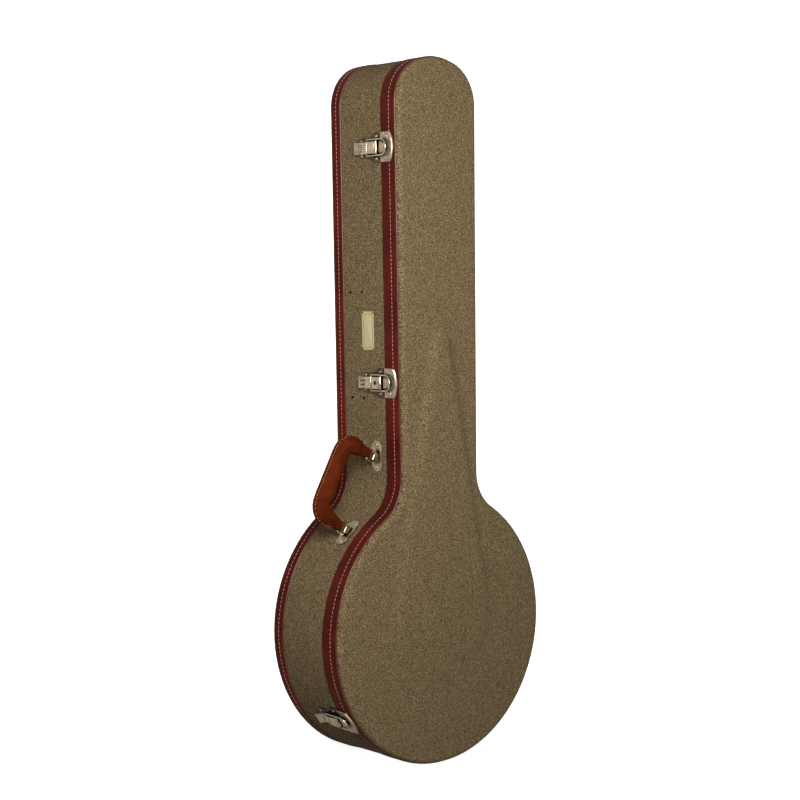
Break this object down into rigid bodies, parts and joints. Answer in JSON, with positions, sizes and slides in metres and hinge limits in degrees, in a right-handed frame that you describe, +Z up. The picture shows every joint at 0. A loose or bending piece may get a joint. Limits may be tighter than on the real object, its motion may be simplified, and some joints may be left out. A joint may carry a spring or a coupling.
{
  "type": "banjo case",
  "caption": "Hard case for a full-size banjo: hinged lid, draw latches, lock, swinging leather handle, padded inside with a lidded compartment.",
  "frame": {"origin": "centre of the round bowl, on the underside that the case rests on", "axes": "+X from the neck towards the tail of the bowl, +Z up through the lid, latches and handle on -Y, hinges on +Y"},
  "size_m": [1.05, 0.4151, 0.157],
  "materials": {
    "tweed": "woven tweed covering, matt",
    "binding": "burgundy leathercloth band, satin",
    "plywood": "bare plywood",
    "plush": "short plush lining",
    "foam_pad": "plush covered padding",
    "nickel": "nickel plate, worn bright",
    "brass_plate": "pale brass, brushed",
    "nail_brass": "dull brass",
    "handle_leather": "tan bridle leather, stitched",
    "steel": "plain steel"
  },
  "bodies": {
    "base": {"base_back_tweed": "tweed", "base_panel": "plywood", "base_rim": "plywood", "back_binding": "binding", "base_side_tweed": "tweed", "rim_tongue": "plush", "base_lining": "plush", "pot_ring": "foam_pad", "pot_pad": "foam_pad", "neck_rest": "foam_pad", "headstock_pad": "foam_pad", "divider_upper": "plush", "divider_lower": "plush", "accessory_pivot_pins": "steel", "handle_bracket_upper": "nickel", "handle_bracket_lower": "nickel", "name_plate": "brass_plate", "hinge_leaves_base": "nickel", "hinge_pins": "steel", "lever_pins": "steel", "latch_plate_screws": "nickel", "handle_bracket_screws": "nickel", "hinge_screws_base": "nickel", "name_plate_nails": "nail_brass", "divider_nails": "nail_brass", "latch_plate_upper": "nickel", "latch_plate_lock": "nickel", "latch_plate_bowl": "nickel"},
    "lid": {"lid_rim": "plywood", "lid_binding": "binding", "lid_panel": "plywood", "lid_tweed": "tweed", "lid_lining": "plush", "lid_neck_pad": "foam_pad", "keeper_upper": "nickel", "keeper_lock": "nickel", "keeper_bowl": "nickel", "keeper_screws": "nickel", "hinge_leaves_lid": "nickel", "hinge_screws_lid": "nickel"},
    "lever_upper": {"lever_upper": "nickel"},
    "lever_lock": {"lever_lock": "nickel"},
    "lever_bowl": {"lever_bowl": "nickel"},
    "loop_upper": {"latch_loop_upper": "nickel"},
    "loop_lock": {"latch_loop_lock": "nickel"},
    "loop_bowl": {"latch_loop_bowl": "nickel"},
    "lock_plug": {"lock_plug": "nickel"},
    "handle": {"handle_grip": "handle_leather", "handle_core": "steel", "handle_ring_upper": "nickel", "handle_ring_lower": "nickel"},
    "accessory_lid": {"accessory_lid": "plush", "accessory_pull_tab": "handle_leather"}
  },
  "joints": [
    {"name": "lid_hinge", "type": "hinge", "parent": "base", "child": "lid", "pos_m": [0, 0.208, 0.1104], "axis": [-1, 0, 0], "range_deg": [0, 105]},
    {"name": "accessory_lid_hinge", "type": "hinge", "parent": "base", "child": "accessory_lid", "pos_m": [-0.4236, 0.06165, 0.06705], "axis": [-1, 0, 0], "range_deg": [0, 90]},
    {"name": "handle_swing", "type": "hinge", "parent": "base", "child": "handle", "pos_m": [-0.20913, -0.11153, 0.0905], "axis": [0.8731, -0.4875, 0], "range_deg": [-55, 55]},
    {"name": "lever_upper_pivot", "type": "hinge", "parent": "base", "child": "lever_upper", "pos_m": [-0.71247, -0.08287, 0.1052], "axis": [-1, -0.0062, 0], "range_deg": [0, 110]},
    {"name": "loop_upper_pivot", "type": "hinge", "parent": "lever_upper", "child": "loop_upper", "pos_m": [-0.71247, -0.08307, 0.0849], "axis": [-1, -0.0062, 0], "range_deg": [-110, 0]},
    {"name": "lever_lock_pivot", "type": "hinge", "parent": "base", "child": "lever_lock", "pos_m": [-0.36897, -0.08073, 0.1052], "axis": [-1, -0.0062, 0], "range_deg": [0, 110]},
    {"name": "loop_lock_pivot", "type": "hinge", "parent": "lever_lock", "child": "loop_lock", "pos_m": [-0.36897, -0.08093, 0.0849], "axis": [-1, -0.0062, 0], "range_deg": [-110, 0]},
    {"name": "lever_bowl_pivot", "type": "hinge", "parent": "base", "child": "lever_bowl", "pos_m": [0.11912, -0.17076, 0.1052], "axis": [-0.8202, -0.5721, 0], "range_deg": [0, 110]},
    {"name": "loop_bowl_pivot", "type": "hinge", "parent": "lever_bowl", "child": "loop_bowl", "pos_m": [0.11923, -0.17092, 0.0849], "axis": [-0.8202, -0.5721, 0], "range_deg": [-110, 0]},
    {"name": "lock_plug_turn", "type": "hinge", "parent": "lever_lock", "child": "lock_plug", "pos_m": [-0.36896, -0.08353, 0.0969], "axis": [0.0062, -1, 0], "range_deg": [0, 90]}
  ],
  "couplings": [
    {"joint": "accessory_lid_hinge", "follows": "lid_hinge", "ratio": 0.857},
    {"joint": "loop_upper_pivot", "follows": "lever_upper_pivot", "ratio": -1},
    {"joint": "loop_lock_pivot", "follows": "lever_lock_pivot", "ratio": -1},
    {"joint": "loop_bowl_pivot", "follows": "lever_bowl_pivot", "ratio": -1}
  ]
}
